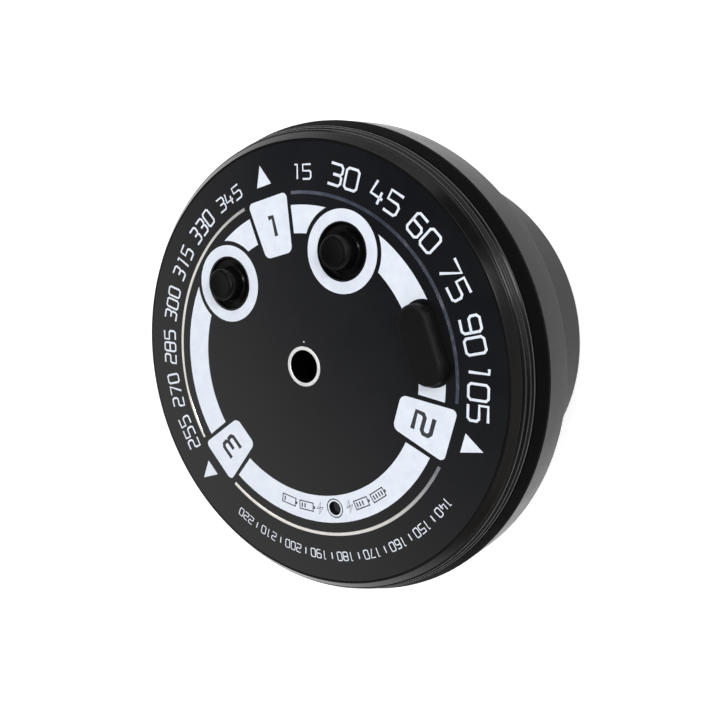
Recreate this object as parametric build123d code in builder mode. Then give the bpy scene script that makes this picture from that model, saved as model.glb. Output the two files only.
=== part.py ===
# LED collimator for a 2 inch telescope focuser.
# Origin: centre of the barrel mouth. +Z runs up the barrel and out of the face,
# +Y goes through the face mark at twelve o'clock, +X goes to the charging port.
import os
from math import cos, radians, sin

from build123d import *

os.makedirs("parts", exist_ok=True)

# ---- driving dimensions, mm ------------------------------------------------
FACE_Z = 30.9            # front of the face plate above the barrel mouth
BARREL_R = 25.4          # 2 inch focuser barrel
BARREL_TOP = 20.8        # underside of the housing
REGISTER = 0.5           # how far the barrel's shoulder sits in the housing
REGISTER_R = 25.0        # shoulder of the barrel inside that recess
SPIGOT_R = 24.4          # threaded spigot of the barrel inside the housing floor
THREAD_R = 23.6          # minor radius of the M48 x 0.75 filter thread
SEAT_R = 23.2            # seat of the retaining ring and the two optical discs
LIGHT_BORE_R = 22.4      # bore of the light chamber
TRAY_BORE_R = 22.9       # bore above the light board

HOUSING_R = 31.7         # outside of the housing wall
HOUSING_BORE_R = 28.4    # inside of the housing wall
FLOOR_TOP = 22.4         # inside floor of the housing
BAND_LOW = FACE_Z - 5.0  # bottom and top of the rubber grip band
BAND_HIGH = FACE_Z - 2.9
BAND_SEAT_R = 29.9       # neck of the housing that carries the band
BAND_R = 31.7            # widest radius of the whole instrument
BEZEL_R = 30.9           # widest radius of the bezel

PLATE_R = 29.0
PLATE_T = 1.4
TAPE_T = 0.15
PLATE_LOW = FACE_Z - PLATE_T

SIGHT_R = 2.67           # sight tube, outside and bore
SIGHT_BORE_R = 2.2
SIGHT_CLEAR = 0.05

THREAD_END = 5.0         # end of the free filter thread
RETAINER_LOW = THREAD_END + 0.2
OPTIC_LOW = 6.8          # lower side of the target disc
TARGET_T = 1.0
DIFFUSER_T = 1.9
CHAMBER_LOW = 9.8        # shoulder above the diffuser
CHAMBER_TOP = 15.9       # ledge under the light board
LIGHT_BOARD_T = 1.2
LED_COUNT = 12
LED_RING_R = 16.0

BOARD_LOW = FLOOR_TOP + 0.8   # main board, held up by spacers
BOARD_T = 1.6
BOARD_TOP = BOARD_LOW + BOARD_T
BOARD_R = 27.4
SCREW_RING_R = 26.3
SCREW_ANGLES = (30, 150, 270)

BUTTON_RING_R = 16.5     # places of the two buttons on the face
BUTTON_ANGLES = {"left": 126.95, "right": 53.05}
BUTTON_HOLE_R = 3.6
BUTTON_TRAVEL = 0.3
BUTTON_TOP = FACE_Z + 1.9

PORT_X = 19.2            # centre of the charging port cover
COVER_L = 10.0
COVER_W = 5.2
COVER_TOP = FACE_Z + 1.9
SOCKET_Y = -0.65         # centre of the charging socket, set off from the tether
TETHER_Y = 4.1
STATUS_Y = -19.1         # charge status light

CLEAR = 0.05             # fit between parts that are screwed or dropped together


def turned(points, x=0, y=0):
    """Revolve a closed outline of (radius, height) points about the upright axis at x, y."""
    with BuildSketch(Plane(origin=(x, y, 0), x_dir=(1, 0, 0), z_dir=(0, -1, 0))) as outline:
        with BuildLine():
            Polyline(*points, close=True)
        make_face()
    revolve(outline.sketch, axis=Axis((x, y, 0), (0, 0, 1)), revolution_arc=360)


def disc(radius, low, height, mode=Mode.ADD):
    """A disc about the Z axis, from low upwards."""
    with BuildSketch(Plane.XY.offset(low)) as face:
        Circle(radius)
    extrude(face.sketch, amount=height, mode=mode)


def block(x, y, low, size, height, mode=Mode.ADD, corner=0.0):
    """An upright block with its middle at x, y and its underside at low."""
    with BuildSketch(Plane.XY.offset(low)) as face:
        with Locations((x, y)):
            if corner:
                RectangleRounded(size[0], size[1], corner)
            else:
                Rectangle(*size)
    extrude(face.sketch, amount=height, mode=mode)


def peg(x, y, radius, low, height, mode=Mode.ADD):
    """An upright round peg or hole at x, y."""
    with BuildSketch(Plane.XY.offset(low)) as face:
        with Locations((x, y)):
            Circle(radius)
    extrude(face.sketch, amount=height, mode=mode)


def polar(radius, angle):
    return radius * cos(radians(angle)), radius * sin(radians(angle))


def save(builder, name):
    builder.part.label = name
    export_step(builder.part, f"parts/{name}.step")


# ---- barrel and the optics in its mouth --------------------------------------
with BuildPart() as barrel:
    turned([
        (THREAD_R + 0.4, 0), (BARREL_R - 0.5, 0), (BARREL_R, 0.5),
        (BARREL_R, BARREL_TOP), (REGISTER_R, BARREL_TOP),
        (REGISTER_R, BARREL_TOP + REGISTER), (SPIGOT_R, BARREL_TOP + REGISTER),
        (SPIGOT_R, FLOOR_TOP),
        (TRAY_BORE_R, FLOOR_TOP), (TRAY_BORE_R, CHAMBER_TOP),
        (LIGHT_BORE_R, CHAMBER_TOP), (LIGHT_BORE_R, CHAMBER_LOW),
        (SEAT_R, CHAMBER_LOW),
        (SEAT_R, THREAD_END), (THREAD_R, THREAD_END), (THREAD_R, 0.4),
    ])
save(barrel, "barrel")

with BuildPart() as retaining_ring:
    turned([
        (21.4, RETAINER_LOW), (SEAT_R - CLEAR, RETAINER_LOW),
        (SEAT_R - CLEAR, OPTIC_LOW - CLEAR), (21.0, OPTIC_LOW - CLEAR),
    ])
    for side in (-1, 1):
        block(side * 22.3, 0, RETAINER_LOW, (3.4, 1.2), 0.9, Mode.SUBTRACT)
save(retaining_ring, "retaining_ring")

with BuildPart() as target_disc:
    disc(SEAT_R - 0.1, OPTIC_LOW, TARGET_T)
    disc(SIGHT_R + SIGHT_CLEAR, OPTIC_LOW, TARGET_T, Mode.SUBTRACT)
save(target_disc, "target_disc")

DIFFUSER_LOW = OPTIC_LOW + TARGET_T + CLEAR
with BuildPart() as diffuser:
    disc(SEAT_R - 0.1, DIFFUSER_LOW, DIFFUSER_T)
    disc(SIGHT_R + SIGHT_CLEAR, DIFFUSER_LOW, DIFFUSER_T, Mode.SUBTRACT)
save(diffuser, "diffuser")

with BuildPart() as light_reflector:
    turned([
        (LIGHT_BORE_R - 0.5, CHAMBER_LOW + CLEAR), (LIGHT_BORE_R - CLEAR, CHAMBER_LOW + CLEAR),
        (LIGHT_BORE_R - CLEAR, CHAMBER_TOP - CLEAR), (LIGHT_BORE_R - 1.1, CHAMBER_TOP - CLEAR),
    ])
save(light_reflector, "light_reflector")

# ---- light board and its ring of lamps ---------------------------------------
LINK_X = -9.0            # pin link between the two boards
LINK_Y = 8.0
LINK_PITCH = 2.54
LINK_XS = [LINK_X + (i - 1.5) * LINK_PITCH for i in range(4)]
PIN_W = 0.64

with BuildPart() as light_board:
    disc(TRAY_BORE_R - 0.1, CHAMBER_TOP + CLEAR, LIGHT_BOARD_T)
    disc(SIGHT_R + 0.3, CHAMBER_TOP + CLEAR, LIGHT_BOARD_T, Mode.SUBTRACT)
    for x in LINK_XS:
        block(x, LINK_Y, CHAMBER_TOP + CLEAR, (PIN_W, PIN_W), LIGHT_BOARD_T, Mode.SUBTRACT)
save(light_board, "light_board")

with BuildPart() as white_leds:
    with BuildSketch(Plane.XY.offset(CHAMBER_TOP + CLEAR)) as led_outlines:
        with PolarLocations(LED_RING_R, LED_COUNT, start_angle=15):
            Rectangle(3.5, 2.8)
    extrude(led_outlines.sketch, amount=-0.7)
save(white_leds, "white_leds")

# ---- battery in its tray -------------------------------------------------------
CELL = (26.0, 11.0, 4.1)
CELL_Y = -11.0
TRAY_LOW = CHAMBER_TOP + CLEAR + LIGHT_BOARD_T + CLEAR
TRAY_FLOOR = 0.8
TRAY_TOP = BOARD_LOW - CLEAR
CELL_LOW = TRAY_LOW + TRAY_FLOOR + CLEAR
LEAD_XS = (8.4, 9.6)
LEAD_Z = CELL_LOW + 2.2

with BuildPart() as battery_tray:
    disc(TRAY_BORE_R - 0.1, TRAY_LOW, TRAY_FLOOR)
    disc(4.2, TRAY_LOW, TRAY_TOP - TRAY_LOW)
    block(0, CELL_Y, TRAY_LOW, (CELL[0] + 2.2, CELL[1] + 2.2), TRAY_TOP - TRAY_LOW)
    block(0, CELL_Y, CELL_LOW - CLEAR, (CELL[0] + 0.2, CELL[1] + 0.2), 8, Mode.SUBTRACT)
    disc(SIGHT_R + 0.3, TRAY_LOW, 8, Mode.SUBTRACT)
    block(LINK_X, LINK_Y, TRAY_LOW, (11.4, 3.6), TRAY_FLOOR, Mode.SUBTRACT)
    block(sum(LEAD_XS) / 2, CELL_Y + CELL[1] / 2 + 0.6, LEAD_Z - 0.8, (3.2, 1.6), 8, Mode.SUBTRACT)
save(battery_tray, "battery_tray")

with BuildPart() as battery:
    block(0, CELL_Y, CELL_LOW, (CELL[0], CELL[1]), CELL[2])
    fillet(battery.edges().filter_by(Axis.X), 0.9)
save(battery, "battery")

PAD_LOW = CELL_LOW + CELL[2]
with BuildPart() as battery_pad:
    block(0, CELL_Y, PAD_LOW, (20, 8), TRAY_TOP - PAD_LOW)
save(battery_pad, "battery_pad")

PLUG_Y = 10.0
with BuildPart() as battery_leads:
    for x in LEAD_XS:
        with BuildSketch(Plane.XZ.offset(-(CELL_Y + CELL[1] / 2))) as lead_end:
            with Locations((x, LEAD_Z)):
                Circle(0.45)
        extrude(lead_end.sketch, amount=-(PLUG_Y - 1.5 - CELL_Y - CELL[1] / 2))
save(battery_leads, "battery_leads")

with BuildPart() as battery_plug:
    block(sum(LEAD_XS) / 2, PLUG_Y, LEAD_Z - 1.3, (4.4, 3.0), 2.6)
save(battery_plug, "battery_plug")

with BuildPart() as battery_socket:
    block(sum(LEAD_XS) / 2, PLUG_Y + 1.5, LEAD_Z - 1.7, (5.6, 6.0), BOARD_LOW - LEAD_Z + 1.7)
    block(sum(LEAD_XS) / 2, PLUG_Y, LEAD_Z - 1.35, (4.5, 3.1), 2.7, Mode.SUBTRACT)
save(battery_socket, "battery_socket")

# ---- main board and what is soldered to it ---------------------------------------
with BuildPart() as link_pins:
    for x in LINK_XS:
        block(x, LINK_Y, CHAMBER_TOP + CLEAR, (PIN_W, PIN_W), BOARD_TOP + 0.4 - CHAMBER_TOP - CLEAR)
save(link_pins, "link_pins")

LINK_BODY_LOW = CHAMBER_TOP + CLEAR + LIGHT_BOARD_T
with BuildPart() as link_header:
    block(LINK_X, LINK_Y, LINK_BODY_LOW, (10.2, 2.5), BOARD_LOW - LINK_BODY_LOW)
    for x in LINK_XS:
        block(x, LINK_Y, LINK_BODY_LOW, (PIN_W, PIN_W), BOARD_LOW - LINK_BODY_LOW, Mode.SUBTRACT)
save(link_header, "link_header")

with BuildPart() as main_board:
    disc(BOARD_R, BOARD_LOW, BOARD_T)
    disc(SIGHT_R + 0.3, BOARD_LOW, BOARD_T, Mode.SUBTRACT)
    for angle in SCREW_ANGLES:
        peg(*polar(SCREW_RING_R, angle), 1.0 + CLEAR, BOARD_LOW, BOARD_T, Mode.SUBTRACT)
    for x in LINK_XS:
        block(x, LINK_Y, BOARD_LOW, (PIN_W, PIN_W), BOARD_T, Mode.SUBTRACT)
save(main_board, "main_board")

with BuildPart() as board_spacers:
    for angle in SCREW_ANGLES:
        peg(*polar(SCREW_RING_R, angle), 1.75, FLOOR_TOP, BOARD_LOW - FLOOR_TOP)
        peg(*polar(SCREW_RING_R, angle), 1.0 + CLEAR, FLOOR_TOP, BOARD_LOW - FLOOR_TOP, Mode.SUBTRACT)
save(board_spacers, "board_spacers")

SCREW_TIP = FLOOR_TOP - 1.1
HEAD_T = 1.2
with BuildPart() as board_screws:
    for angle in SCREW_ANGLES:
        x, y = polar(SCREW_RING_R, angle)
        peg(x, y, 1.0, SCREW_TIP, BOARD_TOP - SCREW_TIP)
        peg(x, y, 1.8, BOARD_TOP, HEAD_T)
        block(x, y, BOARD_TOP + HEAD_T - 0.6, (2.2, 0.5), 0.6, Mode.SUBTRACT)
        block(x, y, BOARD_TOP + HEAD_T - 0.6, (0.5, 2.2), 0.6, Mode.SUBTRACT)
save(board_screws, "board_screws")

with BuildPart() as charge_chip:
    block(10.5, -8.5, BOARD_TOP + 0.1, (4.9, 3.9), 1.4)
    for i in range(4):
        block(10.5 + (i - 1.5) * 1.27, -8.5, BOARD_TOP, (0.42, 5.9), 0.35)
save(charge_chip, "charge_chip")

with BuildPart() as controller_chip:
    block(-11.0, -5.0, BOARD_TOP, (5, 5), 0.9)
    chamfer(controller_chip.faces().sort_by(Axis.Z)[-1].edges(), 0.15)
save(controller_chip, "controller_chip")

with BuildPart() as inductor:
    peg(12.5, -15.0, 2.4, BOARD_TOP, 0.5)
    peg(12.5, -15.0, 1.5, BOARD_TOP + 0.5, 1.2)
    peg(12.5, -15.0, 2.4, BOARD_TOP + 1.7, 0.5)
save(inductor, "inductor")

with BuildPart() as capacitors:
    for x, y in ((5.5, -12), (5.5, -15), (-6, -9), (-6, -12), (-15.5, -2), (-15.5, -6)):
        block(x, y, BOARD_TOP, (2.0, 1.25), 1.0)
save(capacitors, "capacitors")

with BuildPart() as status_led:
    block(0, STATUS_Y, BOARD_TOP, (1.6, 1.0), 0.7)
save(status_led, "status_led")

with BuildPart() as light_pipe:
    peg(0, STATUS_Y, 0.85, BOARD_TOP + 0.8, FACE_Z - 0.5 - BOARD_TOP - 0.8)
    peg(0, STATUS_Y, 1.6, PLATE_LOW - 0.65, 0.6)
save(light_pipe, "light_pipe")

# ---- charging socket ----------------------------------------------------------
SOCKET_SIZE = (2.6, 7.5)
SOCKET_TOP = FACE_Z - 1.1
SOCKET_WALL = 0.3
with BuildPart() as port_shell:
    block(PORT_X, SOCKET_Y, BOARD_TOP, SOCKET_SIZE, SOCKET_TOP - BOARD_TOP, corner=0.5)
    block(PORT_X, SOCKET_Y, BOARD_TOP, (SOCKET_SIZE[0] - 2 * SOCKET_WALL, SOCKET_SIZE[1] - 2 * SOCKET_WALL),
          8, Mode.SUBTRACT, corner=0.25)
save(port_shell, "port_shell")

with BuildPart() as port_contacts:
    block(PORT_X, SOCKET_Y, BOARD_TOP, (1.9, 6.8), 1.3, corner=0.2)
    block(PORT_X + 0.35, SOCKET_Y, BOARD_TOP + 1.3, (0.6, 3.8), 2.9)
save(port_contacts, "port_contacts")

# ---- switches under the buttons -----------------------------------------------
SWITCH_W = 6.0
SWITCH_TOP = BOARD_TOP + 3.5
PLUNGER_R = 1.7
DOME_SEAT = BOARD_TOP + 0.7
DOME_T = 0.12
DOME_RISE = 0.5
PLUNGER_LOW = DOME_SEAT + DOME_RISE + DOME_T + 0.05
PLUNGER_TOP = SWITCH_TOP + 0.85
CAP_LOW = SWITCH_TOP + BUTTON_TRAVEL + 0.1
CAP_RIM = 0.6
for side, angle in BUTTON_ANGLES.items():
    bx, by = polar(BUTTON_RING_R, angle)

    with BuildPart() as switch_case:
        block(bx, by, BOARD_TOP, (SWITCH_W, SWITCH_W), SWITCH_TOP - BOARD_TOP)
        chamfer(switch_case.faces().sort_by(Axis.Z)[-1].edges(), 0.3)
        peg(bx, by, 2.3, DOME_SEAT, PLUNGER_LOW - DOME_SEAT + 0.2, Mode.SUBTRACT)
        peg(bx, by, PLUNGER_R + CLEAR, DOME_SEAT, 6, Mode.SUBTRACT)
    save(switch_case, f"switch_case_{side}")

    with BuildPart() as switch_dome:
        turned([
            (0, DOME_SEAT + DOME_RISE), (0.8, DOME_SEAT + DOME_RISE), (2.15, DOME_SEAT),
            (2.15, DOME_SEAT + DOME_T), (0.9, DOME_SEAT + DOME_RISE + DOME_T),
            (0, DOME_SEAT + DOME_RISE + DOME_T),
        ], bx, by)
    save(switch_dome, f"switch_dome_{side}")

    with BuildPart() as switch_plunger:
        peg(bx, by, PLUNGER_R, PLUNGER_LOW, PLUNGER_TOP - PLUNGER_LOW)
        chamfer(switch_plunger.faces().sort_by(Axis.Z)[-1].edges(), 0.2)
    save(switch_plunger, f"switch_plunger_{side}")

    with BuildPart() as button:
        peg(bx, by, 4.2, CAP_LOW, CAP_RIM)
        peg(bx, by, BUTTON_HOLE_R - 0.12, CAP_LOW, FACE_Z - 0.35 - CAP_LOW)
        peg(bx, by, 2.2, CAP_LOW, BUTTON_TOP - CAP_LOW)
        fillet(button.faces().sort_by(Axis.Z)[-1].edges(), 0.3)
        peg(bx, by, PLUNGER_R + CLEAR, CAP_LOW, PLUNGER_TOP - CAP_LOW, Mode.SUBTRACT)
    save(button, f"button_{side}")

# ---- housing, grip band and bezel ----------------------------------------------
with BuildPart() as housing:
    turned([
        (BARREL_R + CLEAR, BARREL_TOP), (HOUSING_R - 0.25, BARREL_TOP),
        (HOUSING_R, BARREL_TOP + 0.25), (HOUSING_R, BAND_LOW - 0.5),
        (BAND_R - 0.05, BAND_LOW - 0.3), (BAND_R - 0.05, BAND_LOW - 0.1),
        (BAND_R - 0.15, BAND_LOW), (BAND_SEAT_R, BAND_LOW),
        (BAND_SEAT_R, BAND_HIGH - CLEAR), (HOUSING_BORE_R, BAND_HIGH - CLEAR),
        (HOUSING_BORE_R, FLOOR_TOP), (SPIGOT_R + CLEAR, FLOOR_TOP),
        (SPIGOT_R + CLEAR, BARREL_TOP + REGISTER), (BARREL_R + CLEAR, BARREL_TOP + REGISTER),
    ])
    for angle in SCREW_ANGLES:
        peg(*polar(SCREW_RING_R, angle), 1.0, SCREW_TIP - 0.1, 4, Mode.SUBTRACT)
save(housing, "housing")

with BuildPart() as grip_band:
    turned([
        (BAND_SEAT_R + CLEAR, BAND_LOW + 0.02), (BAND_R - 0.1, BAND_LOW + 0.02),
        (BAND_R, BAND_LOW + 0.15), (BAND_R - 0.08, BAND_LOW + 0.5),
        (BEZEL_R + 0.1, BAND_HIGH - 0.15), (BEZEL_R - 0.05, BAND_HIGH - 0.02),
        (BAND_SEAT_R + CLEAR, BAND_HIGH - 0.02),
    ])
save(grip_band, "grip_band")

LEDGE_R = 27.2
LEDGE_TOP = PLATE_LOW - TAPE_T
with BuildPart() as bezel_ring:
    turned([
        (LEDGE_R, BAND_LOW + 0.3), (HOUSING_BORE_R - CLEAR, BAND_LOW + 0.3),
        (HOUSING_BORE_R - CLEAR, BAND_HIGH), (BEZEL_R, BAND_HIGH),
        (BEZEL_R, BAND_HIGH + 0.45), (BEZEL_R - 0.18, BAND_HIGH + 0.65),
        (BEZEL_R - 0.18, BAND_HIGH + 0.95), (BEZEL_R - 0.5, BAND_HIGH + 1.1),
        (BEZEL_R - 0.5, BAND_HIGH + 1.5), (BEZEL_R - 0.65, BAND_HIGH + 1.7),
        (BEZEL_R - 0.85, BAND_HIGH + 1.82), (BEZEL_R - 0.75, BAND_HIGH + 1.95),
        (PLATE_R + 0.25, FACE_Z), (PLATE_R + CLEAR, FACE_Z),
        (PLATE_R + CLEAR, LEDGE_TOP), (LEDGE_R, LEDGE_TOP),
    ])
save(bezel_ring, "bezel_ring")

# ---- face plate, sight tube and port cover ----------------------------------------
with BuildPart() as plate_tape:
    disc(PLATE_R - 0.15, LEDGE_TOP, TAPE_T)
    disc(LEDGE_R + 0.1, LEDGE_TOP, TAPE_T, Mode.SUBTRACT)
save(plate_tape, "plate_tape")

with BuildPart() as face_plate:
    disc(PLATE_R, PLATE_LOW, PLATE_T)
    disc(SIGHT_R + SIGHT_CLEAR, PLATE_LOW, PLATE_T, Mode.SUBTRACT)
    for angle in BUTTON_ANGLES.values():
        peg(*polar(BUTTON_RING_R, angle), BUTTON_HOLE_R, PLATE_LOW, PLATE_T, Mode.SUBTRACT)
    peg(0, STATUS_Y, 0.9, PLATE_LOW, PLATE_T, Mode.SUBTRACT)
    peg(PORT_X, TETHER_Y, 0.55, PLATE_LOW, PLATE_T, Mode.SUBTRACT)
    block(PORT_X, SOCKET_Y, PLATE_LOW, (3.0, 7.9), PLATE_T, Mode.SUBTRACT, corner=0.6)
save(face_plate, "face_plate")

with BuildPart() as sight_tube:
    disc(SIGHT_R, OPTIC_LOW, FACE_Z - OPTIC_LOW)
    disc(4.0, BOARD_TOP, 0.8)
    disc(SIGHT_BORE_R, OPTIC_LOW, FACE_Z - OPTIC_LOW, Mode.SUBTRACT)
save(sight_tube, "sight_tube")

COVER_LOW = FACE_Z + 0.02
with BuildPart() as port_cover:
    with BuildSketch(Plane.XY.offset(COVER_LOW)) as cover_outline:
        with Locations((PORT_X, 0)):
            SlotOverall(COVER_L, COVER_W, rotation=90)
    extrude(cover_outline.sketch, amount=COVER_TOP - COVER_LOW)
    fillet(port_cover.faces().sort_by(Axis.Z)[-1].edges(), 0.5)
    block(PORT_X, SOCKET_Y, COVER_LOW - 0.9, (2.2, 7.1), 1.0, corner=0.5)
    block(PORT_X, TETHER_Y, COVER_LOW, (1.8, 1.3), 0.5, Mode.SUBTRACT, corner=0.3)
save(port_cover, "port_cover")

with BuildPart() as cover_tether:
    block(PORT_X, TETHER_Y, FACE_Z, (1.6, 1.1), 0.4, corner=0.3)
    peg(PORT_X, TETHER_Y, 0.5, PLATE_LOW - 0.6, PLATE_T + 0.7)
    peg(PORT_X, TETHER_Y, 0.9, PLATE_LOW - 0.7, 0.65)
save(cover_tether, "cover_tether")
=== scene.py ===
import math

import bmesh
import bpy
from mathutils import Matrix, Vector


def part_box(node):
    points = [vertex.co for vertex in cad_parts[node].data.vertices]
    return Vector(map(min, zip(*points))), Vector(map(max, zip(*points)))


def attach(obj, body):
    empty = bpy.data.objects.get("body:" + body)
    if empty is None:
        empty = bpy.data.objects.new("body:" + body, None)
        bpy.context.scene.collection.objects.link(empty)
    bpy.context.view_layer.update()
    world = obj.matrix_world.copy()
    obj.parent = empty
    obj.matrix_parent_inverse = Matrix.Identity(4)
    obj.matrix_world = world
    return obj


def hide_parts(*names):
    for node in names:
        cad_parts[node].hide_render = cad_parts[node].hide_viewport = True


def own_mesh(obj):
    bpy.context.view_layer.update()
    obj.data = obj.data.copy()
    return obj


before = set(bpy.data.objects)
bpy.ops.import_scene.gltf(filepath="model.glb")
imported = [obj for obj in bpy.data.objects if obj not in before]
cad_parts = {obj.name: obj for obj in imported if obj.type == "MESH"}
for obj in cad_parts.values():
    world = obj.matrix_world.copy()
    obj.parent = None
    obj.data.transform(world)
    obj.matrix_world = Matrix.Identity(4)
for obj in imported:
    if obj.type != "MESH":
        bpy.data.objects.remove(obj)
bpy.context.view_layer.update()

# ---- View and studio -------------------------------------------------------------
# The instrument stands on its barrel mouth on a pale table, which can be seen through
# from below. The camera looks down at the face from the port's side, with its head
# tilted so that the marks read upright.
camera_at = Vector((0.07372, 0.00467, 0.11980))
camera_aim = Vector((0.00038, 0.00353, 0.0309))
camera_up = Vector((0.160, 0.977, -0.144))

camera = bpy.data.objects.new("camera", bpy.data.cameras.new("camera"))
bpy.context.scene.collection.objects.link(camera)
back = (camera_at - camera_aim).normalized()
right = camera_up.cross(back).normalized()
camera.matrix_world = Matrix((right, back.cross(right), back)).transposed().to_4x4()
camera.location = camera_at
camera.data.lens = 43.96
camera.data.shift_x = 0.083
camera.data.shift_y = -0.028
camera.data.clip_start = 0.005
camera.data.clip_end = 5.0
bpy.context.scene.camera = camera
bpy.context.scene.view_settings.view_transform = "Standard"

# Pale walls stand all round at table height, and fade upwards to a dark bluish ceiling.
world = bpy.data.worlds.new("studio")
world.use_nodes = True
air = world.node_tree
way = air.nodes.new("ShaderNodeTexCoord")
height = air.nodes.new("ShaderNodeVectorMath")
height.operation = "DOT_PRODUCT"
height.inputs[1].default_value = (0.25, 0.33, 0.944)
reach = air.nodes.new("ShaderNodeMapRange")
reach.inputs["From Min"].default_value = -0.4
reach.inputs["From Max"].default_value = 1.1
walls = air.nodes.new("ShaderNodeValToRGB")
ramp = walls.color_ramp
ramp.elements[0].position, ramp.elements[0].color = 0.16, (0.24, 0.23, 0.22, 1)
ramp.elements[1].position, ramp.elements[1].color = 0.787, (0.035, 0.045, 0.075, 1)
for place, tone in ((0.333, (0.82, 0.80, 0.77)), (0.54, (0.82, 0.82, 0.83)), (0.587, (0.66, 0.66, 0.67)),
                    (0.633, (0.46, 0.46, 0.47)), (0.657, (0.29, 0.30, 0.34)), (0.683, (0.18, 0.20, 0.25)),
                    (0.727, (0.08, 0.095, 0.15))):
    ramp.elements.new(place).color = (*tone, 1)
air.links.new(way.outputs["Generated"], height.inputs[0])
air.links.new(height.outputs["Value"], reach.inputs["Value"])
air.links.new(reach.outputs["Result"], walls.inputs["Fac"])
air.links.new(walls.outputs["Color"], air.nodes["Background"].inputs["Color"])
bpy.context.scene.world = world

table = bmesh.new()
bmesh.ops.create_grid(table, x_segments=1, y_segments=1, size=1.5)
floor_mesh = bpy.data.meshes.new("floor")
table.to_mesh(floor_mesh)
table.free()
floor = bpy.data.objects.new("floor", floor_mesh)
bpy.context.scene.collection.objects.link(floor)
floor_paint = bpy.data.materials.new("pale_table")
floor_paint.use_nodes = True
floor_shader = floor_paint.node_tree.nodes["Principled BSDF"]
floor_shader.inputs["Base Color"].default_value = (0.93, 0.93, 0.93, 1)
floor_shader.inputs["Roughness"].default_value = 0.9
floor_shader.inputs["Specular IOR Level"].default_value = 0.0
floor_shader.inputs["Emission Color"].default_value = (1, 1, 1, 1)
floor_shader.inputs["Emission Strength"].default_value = 0.50
floor_tree = floor_paint.node_tree
underneath = floor_tree.nodes.new("ShaderNodeNewGeometry")
unseen = floor_tree.nodes.new("ShaderNodeBsdfTransparent")
one_way = floor_tree.nodes.new("ShaderNodeMixShader")
floor_tree.links.new(underneath.outputs["Backfacing"], one_way.inputs["Fac"])
floor_tree.links.new(floor_shader.outputs["BSDF"], one_way.inputs[1])
floor_tree.links.new(unseen.outputs["BSDF"], one_way.inputs[2])
floor_tree.links.new(one_way.outputs["Shader"], floor_tree.nodes["Material Output"].inputs["Surface"])
floor_mesh.materials.append(floor_paint)


def soft_box(name, place, size, power, aim=(0, 0, 0.02)):
    """A square soft light at place, turned to the instrument."""
    lamp = bpy.data.objects.new(name, bpy.data.lights.new(name, "AREA"))
    lamp.data.shape = "SQUARE"
    lamp.data.size = size
    lamp.data.energy = power
    lamp.location = place
    lamp.rotation_euler = (Vector(aim) - Vector(place)).to_track_quat("-Z", "Y").to_euler()
    bpy.context.scene.collection.objects.link(lamp)


soft_box("key_light", (0.10, 0.55, 0.40), 0.60, 1.7)
soft_box("port_side_light", (0.46, 0.13, 0.33), 0.13, 1.3)
soft_box("top_light", (0.16, 0.06, 0.70), 0.50, 1.9)


# ---- Barrel ----------------------------------------------------------------------
# A 2 inch focuser barrel, turned from aluminium bar and black anodised. The filter
# thread is cut inside its mouth, and its shoulder is drawn up against the housing.
MM = 0.001
ROUND_STEPS = 192
SHARP = math.radians(33)


def turn(outline, steps=ROUND_STEPS, at=(0, 0), start=0, arc=360):
    """A bmesh in millimetres: a closed outline of (radius, height) points spun about an upright axis."""
    bm = bmesh.new()
    whole = arc == 360
    way = Vector((math.cos(math.radians(start)), math.sin(math.radians(start)), 0))
    ring = [bm.verts.new((at[0] + way.x * r, at[1] + way.y * r, z)) for r, z in outline]
    edges = [bm.edges.new(pair) for pair in zip(ring, ring[1:] + ring[:1])]
    faces = [] if whole else [bm.faces.new(ring)]
    bmesh.ops.spin(bm, geom=ring + edges + faces, cent=(at[0], at[1], 0), axis=(0, 0, 1),
                   angle=math.radians(arc), steps=steps, use_merge=whole)
    bmesh.ops.remove_doubles(bm, verts=bm.verts, dist=0.0005)
    bmesh.ops.recalc_face_normals(bm, faces=bm.faces)
    return bm


def gather(parts):
    """Several bmeshes as one."""
    whole = bmesh.new()
    for part in parts:
        held = bpy.data.meshes.new("held")
        part.to_mesh(held)
        part.free()
        whole.from_mesh(held)
        bpy.data.meshes.remove(held)
    return whole


def round_edges(bm, edges, width, segments, clamp=False):
    """Round these edges off, width millimetres back from each."""
    bmesh.ops.bevel(bm, geom=edges, offset=width, offset_type="OFFSET", affect="EDGES",
                    segments=segments, profile=0.5, material=-1, clamp_overlap=clamp)


def soften(bm, width, segments=2, limit=28):
    """Break every edge that is sharper than limit degrees."""
    sharp = [e for e in bm.edges
             if len(e.link_faces) == 2 and e.calc_face_angle(0) > math.radians(limit)]
    round_edges(bm, sharp, width, segments, clamp=True)


def piece(name, bm, body, finish, slot, *replaced):
    """Turn a bmesh in millimetres into a finished object in metres that rides on a body."""
    bmesh.ops.scale(bm, vec=(MM, MM, MM), verts=bm.verts)
    for edge in bm.edges:
        edge.smooth = len(edge.link_faces) == 2 and edge.calc_face_angle(0) < SHARP
    for face in bm.faces:
        face.smooth = True
    mesh = bpy.data.meshes.new(name)
    bm.to_mesh(mesh)
    bm.free()
    for one in finish if isinstance(finish, tuple) else (finish,):
        mesh.materials.append(one)
    obj = bpy.data.objects.new(name, mesh)
    bpy.context.scene.collection.objects.link(obj)
    obj.modifiers.new("weighted", "WEIGHTED_NORMAL").keep_sharp = True
    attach(obj, body)
    if replaced:
        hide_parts(*replaced)
    return obj


def new_finish(name):
    """A node material with its shader and its object coordinates in millimetres."""
    made = bpy.data.materials.new(name)
    made.use_nodes = True
    tree = made.node_tree
    coords = tree.nodes.new("ShaderNodeTexCoord")
    scale = tree.nodes.new("ShaderNodeMapping")
    scale.inputs["Scale"].default_value = (1 / MM, 1 / MM, 1 / MM)
    tree.links.new(coords.outputs["Object"], scale.inputs["Vector"])
    return made, tree, tree.nodes["Principled BSDF"], scale.outputs["Vector"]


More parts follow.
